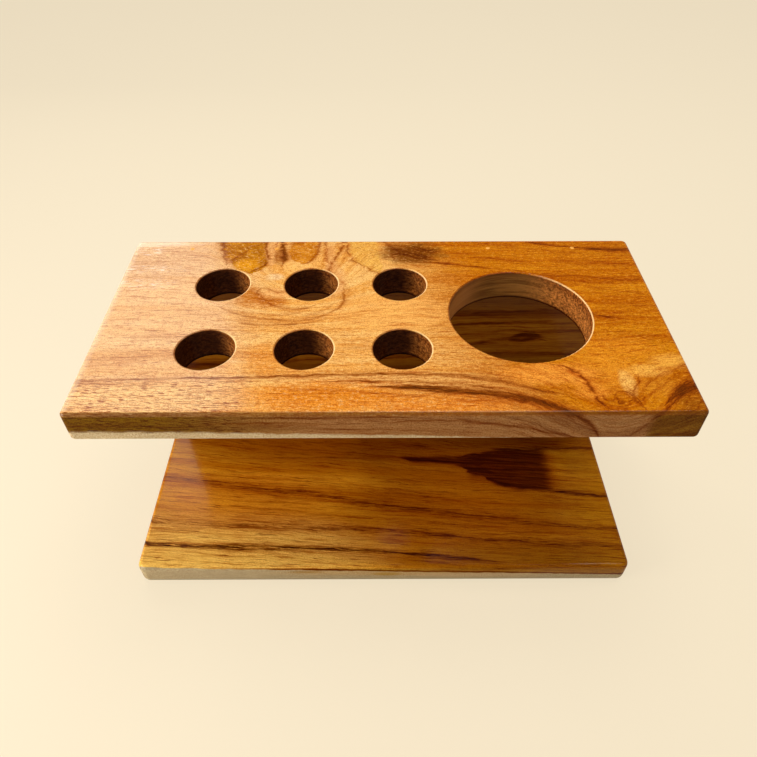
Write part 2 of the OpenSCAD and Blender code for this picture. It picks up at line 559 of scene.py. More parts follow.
# %% Rings of the top board
TOP_STREAKS = [
    # the long dark ring in front of the holes and the heavy ones below it
    (0.75, [(-160, 22, 0.6), (-110, 23.5, 0.8), (-60, 24.5, 1.2), (-20, 26, 1.6), (15, 26, 1.8),
            (40, 24.5, 1.8), (60, 20, 2.2), (75, 14.5, 2.0), (88, 12, 0)]),
    (0.40, [(-160, 20, 0.5), (-90, 21.5, 0.6), (-50, 22.5, 0.6), (-20, 23, 0)]),
    (0.50, [(-60, 16, 0), (-30, 15.5, 1.0), (0, 13, 1.2), (20, 11, 1.0), (40, 8, 0)]),
    (0.65, [(-40, 21, 0), (-10, 21.5, 1.2), (20, 20.5, 1.6), (46, 17.5, 2.0), (62, 13, 2.0),
            (76, 8, 0)]),
    (1.00, [(-14, 17.5, 0), (8, 17.2, 2.0), (25, 16, 3.2), (45, 13.8, 4.0), (62, 10.5, 4.4),
            (75, 6, 4.4), (86, 0, 4.0), (94, -6, 2.6), (100, -13, 1.8), (104, -20, 0.8)]),
    (0.34, [(-30, 24, 0), (-8, 23.6, 2.6), (20, 22.4, 3.6), (44, 19.5, 3.8), (62, 14, 3.4),
            (78, 6, 0)]),
    (0.34, [(-150, 57, 0), (-128, 55, 1.4), (-108, 54, 1.6), (-90, 55, 0)]),
    (0.30, [(-150, 44, 0), (-120, 42, 1.6), (-90, 41, 2.0), (-50, 42, 0)]),
    (0.30, [(-60, 46, 0), (-30, 45, 1.6), (0, 46, 1.8), (26, 44, 0)]),
    # the dark flame behind the middle and the rings right of it
    (0.70, [(-6, 150, 0), (2, 142, 3), (8, 135, 6.0), (15, 130.5, 7.0), (22, 128, 5.6),
            (30, 124, 2.4), (38, 121, 0)]),
    (0.62, [(16, 124, 0), (26, 121.8, 1.2), (36, 119.8, 1.2), (46, 118.2, 1.4), (60, 115.4, 1.2),
            (76, 112.8, 1.2), (86, 111, 0)]),
    (0.55, [(80, 111, 0), (95, 107.5, 1.8), (110, 107, 2.0), (130, 104, 1.6), (152, 103, 1.5)]),
    (0.60, [(0, 126, 0), (8, 130, 4), (18, 134, 6), (28, 133, 5), (38, 132, 0)]),
    (0.90, [(84, 143, 0), (95, 140.5, 1.0), (110, 137.5, 1.2), (125, 135.4, 1.8), (138, 134.2, 2.8),
            (152, 134.5, 3.4)]),
    (0.35, [(50, 143, 0), (70, 139.5, 1.6), (90, 135, 1.6), (120, 130, 1.4), (152, 127, 1.2)]),
    (0.45, [(86, 107, 0), (98, 104.5, 1.4), (120, 101, 1.8), (140, 99, 0)]),
    (0.40, [(98, 124, 0), (112, 121.6, 2.4), (128, 120, 2.8), (152, 118, 2.4)]),
    (0.36, [(30, 133, 0), (46, 130, 2.2), (62, 126, 2.4), (80, 122, 2.0), (96, 118, 0)]),
    (0.36, [(106, 84, 0), (118, 82, 2.0), (134, 80, 2.2), (152, 79, 2)]),
    (0.75, [(108, 75, 0), (113, 72, 1.9), (121, 69.5, 1.5), (131, 68.5, 0)]),
    (0.40, [(110, 60, 0), (125, 56, 0.9), (140, 54, 0.9), (152, 53, 0.6)]),
    (0.40, [(108, 96, 0), (120, 95, 1.2), (135, 92, 1.1), (152, 90, 0.9)]),
    # rings that pass under the burl
    (0.58, [(-92, 80, 0), (-82, 75, 1.0), (-69, 70.3, 1.2), (-56, 68.3, 1.3), (-44, 68, 1.4),
            (-34, 70.5, 1.4), (-27, 75.5, 1.3), (-22.5, 81, 0)]),
    (0.55, [(-82, 66, 0), (-70, 64.5, 1.1), (-58, 64, 1.3), (-46, 64.8, 1.3), (-36, 67, 1.1),
            (-28, 70.0, 0)]),
    (0.50, [(-71, 73.5, 0), (-60, 72, 0.8), (-50, 72.5, 0.8), (-42, 75, 0)]),
    (0.60, [(-65, 83.5, 0), (-58, 79.5, 1.4), (-50, 77, 1.7), (-42, 78, 1.4), (-35, 81.5, 0)]),
    (0.62, [(-71, 95, 0), (-66, 96, 1.1), (-60, 93, 1.3), (-55, 92.6, 0.9), (-51, 94, 0)]),
    (0.40, [(-74, 87, 0), (-66, 85.6, 1.6), (-56, 85, 1.4), (-48, 86, 0)]),
    (0.35, [(-44, 72, 0), (-36, 73.6, 1.2), (-29, 79, 1.2), (-25, 85, 0)]),
    (0.35, [(-82, 71, 0), (-72, 67.4, 1.0), (-62, 66.2, 1.0), (-50, 66.4, 0)]),
    # the dark corner beside the knot
    (0.66, [(112, -20, 0), (118, -14, 1.3), (124, -5, 2.0), (130, 2, 2.4), (136, 8, 2.6),
            (142, 13, 3.0), (148, 17, 0)]),
    (1.00, [(128, 4, 0), (134, 9.5, 2.2), (139, 13.5, 4.4), (144, 16.5, 5.8), (149, 18.5, 6.4),
            (156, 20, 6.4)]),
    (0.55, [(118, 9, 0), (122, 14, 1.0), (127, 19.5, 1.2), (133, 24, 1.2), (140, 27.6, 1.3),
            (152, 33.5, 1.2)]),
    (0.38, [(122, 8, 0), (127, 13.5, 1.0), (133, 18, 1.2), (140, 22.5, 1.2), (152, 28, 1.0)]),
    (0.80, [(114, 15.5, 0), (117, 12, 1.2), (119, 8, 1.5), (119.8, 4, 1.5), (120, 0, 0)]),
    (0.90, [(108, 5.6, 0), (110.4, 6.6, 1.2), (112.6, 7.4, 0)]),
    # streaks on the front edge
    (0.30, [(-160, 38, 1.6), (-110, 39, 2.2), (-75, 40, 1.8), (-50, 41, 0)]),
    (0.75, [(0, -6, 0), (14, -4.6, 0.8), (32, -4.4, 1.0), (46, -6, 1.0), (60, -8.5, 1.1),
            (74, -12, 1.2), (88, -16, 1.2), (96, -19, 0)]),
    (0.70, [(-70, -2.6, 0), (-52, -2.8, 0.7), (-20, -2.6, 0.8), (4, -2.2, 0.6), (20, -2, 0)]),
    (0.50, [(-110, -6, 0), (-90, -6.6, 0.6), (-60, -6.2, 0.8), (-30, -6.8, 0.6), (-10, -7, 0)]),
    (0.55, [(-160, -8, 0.6), (-130, -7.6, 0.9), (-100, -8.6, 0.6), (-84, -9, 0)]),
    (0.45, [(-40, -11, 0), (-20, -10.6, 0.7), (10, -11.5, 0.7), (40, -13, 0.6), (56, -15, 0)]),
    (0.45, [(98, -6, 0), (104, -9, 0.6), (110, -10, 0.6), (116, -8, 0.5), (120, -5, 0)]),
    (0.60, [(122, -15.5, 0), (132, -14.5, 0.8), (142, -15, 1.0), (155, -16, 0.8)]),
]
print("rings drawn on the top board:", len(TOP_STREAKS))

# %% [markdown]
# ## The top board: the burl
#
# Behind the small holes the rings stand upright, so these strokes run across the board:
# (across, along, half width). Between them lie four patches of another colour, where
# the saw cut through a fold in the burl.

# %% Uprights and patches of the burl
OLIVE_PATCH = [(108, -76, 0), (113, -76.5, 5), (119, -78, 10.5), (126, -80.5, 12), (134, -83, 13),
               (147, -86, 15.5)]
GOLD_PATCH = [(118, -46, 0), (123, -47, 6), (130, -47.5, 8.5), (138, -47, 9), (147, -46, 9)]
PALE_PATCH = [(108, 0, 0), (114, -4, 4), (122, -8, 7), (130, -10, 8.5), (138, -11, 8.5),
              (147, -12, 8)]
PALE_STRIP = [(117, -65, 0), (122, -65.5, 3), (132, -66.5, 3.2), (147, -67, 3)]
TOP_UPRIGHTS = [
    (0.50, [(118, -92.5, 0), (122, -90.5, 1.4), (127, -87, 1.2), (132, -83, 1.0), (137, -80, 0)]),
    (0.58, [(118, -92, 0), (124, -93, 1.3), (132, -95, 1.8), (139, -97, 1.6), (147, -98, 1.6)]),
    (0.66, [(110, -78, 0), (115, -73, 1.0), (120, -68.5, 1.1), (127, -68, 1.4), (134, -69.6, 1.2),
            (147, -71, 1.2)]),
    (0.78, [(115, -60, 0), (124, -58, 2.2), (130, -58.5, 3.2), (136, -60, 2.4), (147, -61.5, 1.0)]),
    (0.47, [(120, -63, 0), (127, -63, 1.0), (134, -63.6, 1.0), (147, -65, 0)]),
    (0.58, [(118.5, -50, 0), (121, -44, 1.1), (127, -40.4, 1.3), (135, -38.4, 1.2), (147, -38, 0.8)]),
    (0.34, [(80, -21.5, 0), (87, -19.6, 0.9), (94, -19.6, 0.9), (101, -22.5, 1.0), (107, -26, 0)]),
    (0.62, [(104, -27, 0), (110, -29.4, 1.1), (117, -31, 1.4), (124, -28.8, 1.3), (130, -26.4, 1.3),
            (136, -24.6, 1.5), (147, -23.6, 1.3)]),
    (0.56, [(117, -31.4, 0), (123, -33.2, 1.1), (130, -33.8, 1.4), (138, -34.6, 1.5),
            (147, -35, 1.2)]),
    (0.40, [(120, -24, 0), (127, -22.4, 1.0), (134, -22, 1.0), (147, -21, 0)]),
    (0.58, [(104, 3, 0), (110, -2, 0.9), (116, -9, 1.0), (122, -15.6, 1.3), (128, -19.6, 1.3),
            (136, -21, 1.2), (147, -22, 0.9)]),
    (0.58, [(79, -60, 0), (84, -64, 1.1), (88, -68, 1.3), (93, -69.6, 1.2), (99, -68, 0)]),
    (0.58, [(73, -29, 0), (79, -23.6, 1.4), (86, -21.4, 1.2), (93, -21.8, 0.9), (98, -23, 0)]),
    (0.70, [(1, 103.5, 0), (5, 101.5, 1.0), (10, 99.6, 1.3), (17, 98.2, 1.7), (23, 96.2, 1.7),
            (28.5, 92.6, 1.8), (32, 87, 2.0), (34, 79, 0)]),
    (0.58, [(-3, 121, 0), (2, 120, 0.6), (7, 118, 0.9), (12, 117.4, 0.9), (17, 119.8, 0.9),
            (22, 123, 0.8), (27, 120, 0)]),
]
print("uprights drawn in the burl:", len(TOP_UPRIGHTS))

# %% [markdown]
# ## The top board: its grain
#
# The grain has five scales, from bands as long as the board to dashes of open pores.
# Hills bend its rings round the burl and the knot. Three tints share the board: gold at
# the right, pale honey in the middle and a cooler one at the left. The paler middle and
# left are partly the wood and partly painted sheen, where the varnish mirrors the window.

# %% Grain of the top board
TOP_GRAIN = {
    # length and width of a mark in mm, seed, detail, roughness
    "bands": (300, 7.5, 1.7, 2.0, 0.55),
    "strokes": (30, 1.5, 4.1, 3.0, 0.65),
    "fibres": (7, 0.5, 7.3, 2.0, 0.7),
    "hairs": (16, 0.5, 5.9, 1.0, 0.6),
}
TOP_HILLS = [
    # x, y, half width, half height, rise
    (-48, 104, 30, 28, 34),
    (-80, 136, 16, 20, 16),
    (0, 132, 20, 15, -12),
    (107, -5, 34, 38, 28),
]


def saw_top_board():
    """The top board with its grain and the masks that its finishing steps share."""
    top = Board("top_board_teak", TOP_RULER, (90, 3.0, 6), (9, 0.0))
    ruler = top.ruler
    rings = top.v + top.wander
    for bend in TOP_HILLS:
        rings = rings + hill(ruler, *bend)
    top.grow(rings, TOP_GRAIN)
    top.dashes = grain(ruler, ruler.face + ruler.along * 0.10, 4.5, 0.36, 2.9, 0.0)
    top.mottle = clumps(ruler, 9, 5, 7, 3.0, 0.6)
    uneven = top.mottle - 0.5
    top.waver = uneven * 1.2
    top.x = ruler.along + top.ragged
    slant = (ruler.across - 72) * 0.35
    top.to_middle = smooth(top.x + uneven * 30 + slant, 70.0, -10.0)
    top.to_left = smooth(top.x + uneven * 20, -55.0, -90.0)
    top.edge = smooth(ruler.face, 0.0, -2.0)
    top.upright = Pencil(ruler.face + uneven * 6, top.x + uneven * 5)
    return top


def heartwood_and_painted_sheen(top):
    # the paler middle and left tints are partly painted sheen
    right = blend(top.tone, swatch(198, 114, 3), swatch(218, 142, 18))
    middle = blend(top.tone, swatch(246, 182, 88), swatch(255, 208, 128))
    left = blend(top.tone, swatch(236, 182, 112), swatch(246, 204, 146))
    return blend(top.to_left, blend(top.to_middle, right, middle), left)


print("scales of grain in the top board:", ", ".join([*TOP_GRAIN, "dashes"]))

# %% [markdown]
# ## The top board: washes
#
# Teak bleaches and darkens in patches as big as a thumb. Broad soft ovals lay these
# down first, as a restorer would tone a repair, and flecks of lighter wood then break
# them up so that no oval shows.

# %% Washes of the top board
PEACH = (246, 190, 120)
TOP_WASHES = [
    # (x, y, half width, half height), tint, amount
    # in and around the burl
    ((-80, 119, 9, 8), (238, 168, 24), 1.0),
    ((-31, 129, 4, 20), PEACH, 0.7),
    ((-62, 107, 7, 4), (255, 222, 170), 0.9),
    ((-60, 91, 12, 7), (252, 196, 122), 0.9),
    ((-75, 89, 9, 13), (206, 124, 18), 0.9),
    ((-63, 84, 13, 7), (208, 124, 26), 0.9),
    ((-61, 128, 5, 12), (190, 122, 40), 0.8),
    ((-28, 104, 9, 22), (240, 182, 116), 0.8),
    # along the front and round the large hole
    ((-26, 11, 50, 15), (238, 150, 34), 0.9),
    ((30, 4, 44, 11), (240, 152, 44), 0.9),
    ((106, 26, 30, 16), (240, 158, 46), 0.6),
    ((116, 44, 30, 14), (238, 156, 38), 0.6),
    ((-58, 38, 14, 16), (238, 160, 60), 0.7),
    ((80, 26, 30, 10), (250, 170, 66), 0.9),
    # dark figure behind the middle and in the right front corner
    ((18, 131, 25, 15), (136, 80, 6), 0.95),
    ((152, 2, 22, 16), (164, 98, 12), 0.9),
    # the pale left end at the back and front, partly painted sheen, and a glow beside the knot
    ((-136, 124, 44, 30), (212, 160, 104), 0.6),
    ((98, 15, 10, 9), (250, 168, 60), 0.7),
    ((-112, 11, 54, 14), (255, 214, 146), 0.8),
]
PALE_BAND = [
    ((117, 20, 5, 11), (255, 204, 110), 0.9),
    ((129, 28, 13, 6), (252, 192, 86), 0.9),
    ((145, 35, 17, 7), (252, 190, 80), 0.9),
]
HONEY_BY_THE_KNOT = [((133, 17, 14, 9), (222, 148, 36), 0.8)]
# paler between the holes: partly the wood, partly painted sheen
BETWEEN_THE_HOLES = [((4, 74, 38, 22), (255, 194, 106), 0.8)]


def tone_top_board(top, colour):
    olive = blend(smooth(top.mottle, 0.40, 0.62), swatch(184, 116, 6), swatch(218, 150, 26))
    honey = blend(smooth(top.mottle, 0.38, 0.64), swatch(206, 128, 14), swatch(232, 160, 50))
    folds = [(OLIVE_PATCH, olive, 1.0), (GOLD_PATCH, honey, 1.0),
             (PALE_PATCH, swatch(246, 194, 90), 0.75), (PALE_STRIP, swatch(*PEACH), 0.8)]
    for points, tint, amount in folds:
        colour = blend(top.upright.patch(points) * amount, colour, tint)
    colour = wash(top.ruler, colour, TOP_WASHES, top.waver)
    colour = wash(top.ruler, colour, PALE_BAND, top.waver * 0.5)
    colour = wash(top.ruler, colour, HONEY_BY_THE_KNOT, top.waver)
    flecks = clumps(top.ruler, 2.4, 1.4, 1.8, 2.0, 0.7)
    gleam = blend(top.to_middle, swatch(246, 172, 62), swatch(255, 218, 150))
    colour = blend(smooth(flecks, 0.52, 0.70) * 0.5, colour, gleam)
    colour = stain(colour, smooth(flecks, 0.48, 0.34) * 0.5, swatch(206, 150, 84))
    return wash(top.ruler, colour, BETWEEN_THE_HOLES, top.waver)


print("washes on the top board:", len(TOP_WASHES) + len(PALE_BAND) + 2)

# %% [markdown]
# ## The top board: front edge and grain
#
# The front edge was planed. It is browner, most of all at the left: partly the wood and
# partly painted shade, since the edge faces away from the light. Then the grain goes on:
# streaks, fibres, hairs and, at the front left, dashes of open pores. The streaks are held
# back round the burl and the knot, where the bent rings would bunch them up like a fan.

# %% Front edge and grain of the top board
BURL_AT = (-50, 108, 66, 46)
KNOT_AT = (128, 24, 34, 26)


def front_edge_with_painted_shade(top, colour):
    # browner front edge: partly the wood, partly painted shade
    edge_brown_and_shade = blend(top.to_middle, swatch(172, 130, 84), swatch(164, 120, 74))
    edge_brown_and_shade = blend(smooth(top.x, -20.0, -110.0), edge_brown_and_shade, swatch(134, 102, 12))
    edge_brown_and_shade = blend(smooth(top.x, 121.0, 127.0), edge_brown_and_shade, swatch(132, 92, 24))
    edge_brown_and_shade = stain(edge_brown_and_shade, smooth(top.bands, 0.56, 0.40) * 0.5, swatch(190, 156, 110))
    return blend(top.edge, colour, edge_brown_and_shade)


def grain_top_board(top, colour):
    bent = spot(top.ruler, *BURL_AT) + spot(top.ruler, *KNOT_AT)
    calm = 1 - bent.least(1.0) * 0.75
    streaks = smooth(top.strokes, 0.52, 0.28) * calm * 0.65
    colour = stain(colour, streaks, swatch(212, 162, 92))
    colour = stain(colour, smooth(top.fibres, 0.54, 0.24) * 0.7, swatch(210, 160, 96))
    hairs = smooth(top.hairs, 0.40, 0.28) * calm * 0.65
    colour = stain(colour, hairs, swatch(180, 116, 52))
    front_left = smooth(top.v, 26.0, 20.0) * smooth(top.x, -58.0, -72.0) * 0.8 + 0.2
    pores = smooth(top.dashes, 0.43, 0.34) * front_left
    return stain(colour, pores, swatch(166, 108, 52))


print("streaks are held back round", BURL_AT[:2], "and", KNOT_AT[:2])

# %% [markdown]
# ## The top board: knot, rings and sapwood
#
# A pin knot is a few thin loops inside each other, each pushed out of round. The rings
# and the uprights are then inked in. Last comes the sapwood: the tree's living outer
# wood, almost white, which shows as a strip along the bottom of the front edge and
# tapers away to the right.

# %% Knot, rings and sapwood
KNOT_LOOPS = [
    # strength, x, y, half width, half height
    (0.9, 110, 6.8, 1.2, 1.0),
    (0.7, 105.4, 10.4, 2.8, 2.6),
    (0.75, 112.6, 10.4, 4.0, 3.6),
    (0.5, 109, 9.0, 6.4, 5.2),
    (0.5, 111, 8.6, 10.5, 7.6),
]
SPECK_SIZE = (0.8, 0.45, 0.6)
SAPWOOD_LINE = [(-160, -20, 8), (-100, -20, 8), (-60, -20, 7.2), (-20, -20, 6), (20, -20, 5),
                (50, -20, 3.6), (75, -20, 2.6), (92, -20, 0)]


def loop(ruler, x, y, wide, tall, waver):
    """A thin closed line, like the rings of a pin knot."""
    line = (far(ruler, x, y, wide, tall) ** 0.5 + waver - 1) * (wide * 1.6)
    return 1 / (line * line + 1)


def knot(ruler, waver):
    """A pin knot: two small loops over an eye, inside wavering rings."""
    ink = 0.0
    for strength, *place in KNOT_LOOPS:
        ink = (loop(ruler, *place, waver) * strength).most(ink)
    return ink


def specks(board):
    """Fine dark pores, which show up most on sapwood."""
    return clumps(board.ruler, *SPECK_SIZE, 1.0, 0.6)


def ink_top_board(top, colour):
    knot_ink = knot(top.ruler, top.ragged * 0.16 + top.waver * 0.3)
    ink = Pencil(top.ruler.along, top.v).drawing(TOP_STREAKS, 1.3)
    ink = ink.most(knot_ink * smooth(top.mottle, 0.30, 0.44))
    ink = broken(ink, smooth(top.streaks, 0.62, 0.34) * 1.25, 0.4)
    ink = ink.most(top.upright.drawing(TOP_UPRIGHTS, 1.1) * smooth(top.mottle, 0.20, 0.50))
    return darken(colour, ink, swatch(90, 42, 4))


def top_sapwood(top, colour):
    strip = Pencil(top.ruler.along, top.v).stroke(SAPWOOD_LINE, 4.0)
    pale = blend(top.fibres, swatch(162, 142, 104), swatch(230, 214, 182))
    colour = blend(smooth(strip, 0.04, 0.12), colour, pale)
    return stain(colour, smooth(specks(top), 0.60, 0.34) * 0.6, swatch(190, 146, 92))


print("loops in the knot:", len(KNOT_LOOPS))

# %% [markdown]
# ## The top board: dark arrises
#
# An arris is the sharp line where two planed faces meet. Here it is rounded. At the front
# it shows as a darker line, which is painted shade where the rounding turns away from the
# light. A darker line runs along the back edge too, except at the pale left end.

# %% Dark arrises
ARRIS_REACH = 2.0


def dark_arrises(top, colour):
    ruler = top.ruler
    # painted shade along the front arris, where the rounding turns away from the light
    front_arris_shade = smooth(abs(ruler.face - 0.2 + top.ragged * 0.2), ARRIS_REACH, 0.7)
    colour = blend(front_arris_shade * 0.75, colour, swatch(96, 52, 12))
    back_arris = smooth(ruler.across + top.ragged * 0.2, board_depth - ARRIS_REACH,
                        board_depth - 0.6)
    past_left_end = smooth(ruler.along, -112.0, -100.0)
    return blend(back_arris * 0.6 * past_left_end, colour, swatch(120, 62, 14))


print("an edge is darker for", ARRIS_REACH, "mm")

# %% [markdown]
# ## Holes
#
# A bored wall shows end grain and torn fibres: it drinks the varnish, so it is darker
# and rougher than a planed face. Its eased rim shows as a thin line: a painted highlight
# on the right of a hole and painted shade on its left. Each hole could have a mask of its
# own, but the small ones stand in a regular pattern, so one wrapped distance serves all six.

# %% Where the holes are
SMALL_HOLE_R, LARGE_HOLE_R = 15.0, 38.0
COLUMN_PITCH, MIDDLE_COLUMN = 50.0, -40.5
ROW_HALF_PITCH = 27.5
LARGE_HOLE_AT = 73.5
BETWEEN_SIZES = 31.5


def in_large_half(ruler):
    """1 in the part of the board that has the large hole."""
    return smooth(ruler.along, BETWEEN_SIZES - 0.5, BETWEEN_SIZES + 0.5)


def bored(ruler):
    """Millimetres outside the nearest hole, and which side of it: -1 left to 1 right."""
    middle = ruler.across - board_depth / 2
    right = ruler.along - LARGE_HOLE_AT
    large = (right * right + middle * middle) ** 0.5 - LARGE_HOLE_R
    column = ruler.along - MIDDLE_COLUMN
    nearest_column = ruler.bench.add("ShaderNodeMath", {"operation": "WRAP"}, column,
                                     COLUMN_PITCH / 2, -COLUMN_PITCH / 2)
    row = abs(middle) - ROW_HALF_PITCH
    small = (nearest_column * nearest_column + row * row) ** 0.5 - SMALL_HOLE_R
    beyond = (abs(column) - COLUMN_PITCH * 1.5).most(0.0) * 100
    side = blend_values(in_large_half(ruler), nearest_column / SMALL_HOLE_R,
                        right / LARGE_HOLE_R)
    return large.least(small + beyond), side


print("hole diameters:", SMALL_HOLE_R * 2, "and", LARGE_HOLE_R * 2, "mm")

# %% [markdown]
# ### Inside the holes
#
# The small holes are dark and torn all round. The large one is paler, with level marks
# as a hole saw leaves them. Every wall is darkest at its lower rim, which is painted shade.
#
# The pale right side of the walls and rims is light that is painted on: no wood is paler
# on one side of a hole. It stands for a low lamp on the left, which a real room has and
# these soft boxes give only in part. The price is that it stays when the lamp moves. The
# dark left side of the rims is painted shade, and the pale left wall of the large hole is a
# painted reflection.

# %% Walls and rims
LOWER_RIM = 17.4


def wall_colour(top, side, torn):
    ruler = top.ruler
    level = clumps(ruler, 30, 30, 2.2, 2.0, 0.6)
    small = blend(smooth(torn, 0.34, 0.80), swatch(44, 16, 6), swatch(90, 48, 20))
    large = blend(smooth(level, 0.36, 0.62), swatch(104, 68, 30), swatch(150, 104, 52))
    # the pale left wall of the large hole is a painted reflection
    large = blend(smooth(side, -0.3, -0.8) * 0.7, large, swatch(176, 116, 64))
    large = stain(large, smooth(ruler.deep, 6.0, 1.0) * 0.5, swatch(150, 110, 80))
    shade = blend(in_large_half(ruler) * 0.9, small, large)
    sunlit = blend(smooth(torn, 0.34, 0.70), swatch(100, 54, 24), swatch(232, 148, 70))
    sunlit = stain(sunlit, smooth(ruler.deep, 8.0, 2.0) * 0.6, swatch(160, 120, 90))
    inside = blend(smooth(side, 0.1, 0.95), shade, sunlit)
    # painted shade: every wall darker at its lower rim
    lower_rim_shade = smooth(ruler.deep, LOWER_RIM - 2.0, LOWER_RIM - 0.2)
    return stain(inside, lower_rim_shade, swatch(96, 60, 40))


def bore_holes(top, colour):
    """The colour with rims and walls, the mask of the walls and their torn fibres."""
    off, side = bored(top.ruler)
    rim = smooth(abs(off - 0.35), 0.6, 0.2)
    # the rim line: painted shade on the left of a hole, a painted highlight on its right
    colour = stain(colour, rim * smooth(side, 0.4, 0.0) * 0.7, swatch(170, 116, 66))
    colour = blend(rim * smooth(side, 0.2, 0.9) * 0.75, colour, swatch(255, 214, 150))
    under = smooth(top.ruler.deep, LOWER_RIM - 1.0, LOWER_RIM)
    wall = smooth(off - under * 1.5, 0.25, 0.0)
    torn = clumps(top.ruler, 2.5, 1.2, 1.2, 4.0, 0.7)
    return blend(wall, colour, wall_colour(top, side, torn)), wall, torn


print("the lower rim starts", LOWER_RIM, "mm down")

# %% [markdown]
# ### Where the varnish pooled
#
# At the left end the varnish went on too thick and dried in low ridges, which catch the
# light. That glare is painted on as a broken paler film, and given more coat, so it stays
# on the board from every side. A paler strip along the back at the left and the left end
# itself are painted glare as well.

# %% Pooled varnish, painted glare and the finished top board
POOLS = [(-134, 101, 20, 7), (-138, 115, 30, 5), (-140, 134, 12, 7)]
BACK_GLARE = (-146, 142, 44, 5)


def pooled_varnish_and_painted_glare(top, colour):
    """The colour with its glare, and the mask of the ridges."""
    ruler = top.ruler
    ridges = cloud(top.bench, ruler.along / 6, ruler.across / 0.8, 0.0, 3.0, 0.7)
    glints = smooth(ridges, 0.50, 0.70) * sum(spot(ruler, *pool, top.waver) for pool in POOLS)
    end_glare = smooth(ruler.along, left_end + 5.0, left_end) * 0.45
    # painted glare along the back at the left and on the left end
    sheen = spot(ruler, *BACK_GLARE, top.waver) * 0.6 + end_glare
    on_top = smooth(ruler.face, 1.5, 3.0) * smooth(ruler.deep, 2.0, 0.8)
    shine = (glints + sheen).least(1.0) * on_top * 0.7
    return blend(shine, colour, swatch(255, 240, 214)), glints


def top_board_teak():
    top = saw_top_board()
    colour = tone_top_board(top, heartwood_and_painted_sheen(top))
    colour = grain_top_board(top, front_edge_with_painted_shade(top, colour))
    colour = top_sapwood(top, ink_top_board(top, colour))
    colour = end_grain(top.ruler, dark_arrises(top, colour))
    colour, wall, torn = bore_holes(top, colour)
    colour, glints = pooled_varnish_and_painted_glare(top, colour)
    height = smooth(top.dashes, 0.42, 0.30) * -0.3 + wall * torn * 1.2
    coat = (top.to_left * 0.1 + 0.3 + glints * 0.9) * (1 - wall * 0.9) * (1 - top.edge * 0.7)
    return top.bench.finish(varnish(top.bench, colour, 0.42 + wall * 0.4, height, coat))


print("pools of varnish:", len(POOLS) + 1)

# %% [markdown]
# ## The bottom board: what was sawn through
#
# The bottom board is plainer and darker. Long rings run off to the right front, and at
# the back a flame of almost black wood spreads to the right: a pocket of resin. It is an
# outline filled in with brown, and cores that are darker still.

# %% Rings and flame of the bottom board
BOTTOM_STREAKS = [
    (1.00, [(-160, 18, 1.6), (-125, 16, 1.8), (-100, 15, 2.6), (-75, 14.6, 2.6), (-50, 13.8, 2.0),
            (-25, 13, 1.6), (0, 11.5, 1.6), (25, 9, 1.5), (50, 6.5, 1.2), (75, 4, 0)]),
    (0.40, [(-160, 28, 1.4), (-110, 27, 1.4), (-60, 26, 1.6), (-20, 24, 0)]),
    (0.42, [(-60, 62, 0), (-30, 59, 2.4), (0, 56, 2.6), (30, 52, 3.0), (60, 47, 0)]),
    (0.42, [(-10, 36, 0), (10, 34, 2.0), (40, 31, 2.6), (80, 26, 3.0), (130, 22, 2.6), (155, 20, 2)]),
    (0.36, [(-100, 44, 0), (-70, 42, 2.0), (-30, 38, 2.2), (0, 35, 0)]),
    (0.35, [(-30, 98, 0), (0, 97, 3.0), (40, 96, 4.0), (90, 98, 4.0), (140, 99, 0)]),
    (0.30, [(0, 66, 0), (24, 66, 1.4), (44, 64, 1.2), (60, 62, 0)]),
    (0.40, [(-160, 10, 0.9), (-120, 9, 1.0), (-80, 8.5, 1.0), (-40, 7.5, 0)]),
    (0.64, [(-160, 35, 2.8), (-125, 32.4, 3.8), (-100, 31.5, 4.4), (-60, 30, 4.0), (-25, 28, 4.0),
            (0, 25.5, 3.4), (25, 24, 3.2), (50, 21.5, 3.2), (75, 18.5, 3.2), (100, 17, 3.2),
            (155, 14, 2.0)]),
    (0.62, [(-160, 70, 2.4), (-125, 66, 3.2), (-100, 62, 4.4), (-75, 58, 4.8), (-50, 55, 4.0),
            (-25, 50, 3.0), (0, 46, 4.0), (25, 42, 4.4), (50, 38, 4.4), (75, 34.5, 4.0),
            (100, 31.5, 3.2), (155, 27, 2.2)]),
    (0.85, [(48, 85, 0), (65, 88, 2.0), (85, 91.5, 2.6), (110, 92.8, 2.6), (135, 93, 2.0),
            (155, 92.5, 1.6)]),
    (0.85, [(95, 57.5, 0), (112, 56.5, 2.4), (130, 54, 2.0), (155, 50.5, 1.8)]),
]
BOTTOM_FLAME = [(10, 85, 0), (16, 84.5, 1.5), (22, 83.6, 3), (30, 83.6, 3.4), (40, 83.1, 3.7),
                (50, 82.1, 4.1), (56, 81, 5.2), (59, 78.5, 8), (63, 78.2, 9.4), (70, 78.2, 10.8),
                (75, 77, 12.8), (81, 75.5, 15.2), (90, 74.7, 17), (100, 74.6, 17.8),
                (115, 74.6, 18.6), (150, 75, 19)]
FLAME_CORES = [
    (1.00, [(12, 84.5, 0), (20, 83, 1.6), (32, 82.4, 2.2), (46, 81.6, 2.4), (58, 80, 3.2),
            (66, 79, 3), (72, 80, 0)]),
    (1.00, [(54, 76, 0), (60, 75, 5.5), (66, 74, 6.0), (72, 73, 5.0), (78, 71, 0)]),
    (1.00, [(66, 70, 0), (73, 66, 2.6), (80, 63, 3.4), (90, 60.4, 3.4), (102, 59.4, 2.8),
            (114, 58.6, 2), (124, 57, 0)]),
    (0.95, [(56, 86, 0), (66, 87.6, 1.6), (78, 89.6, 1.8), (92, 90.6, 1.6), (106, 91.6, 1.4),
            (118, 92, 0)]),
]
print("rings drawn on the bottom board:", len(BOTTOM_STREAKS))
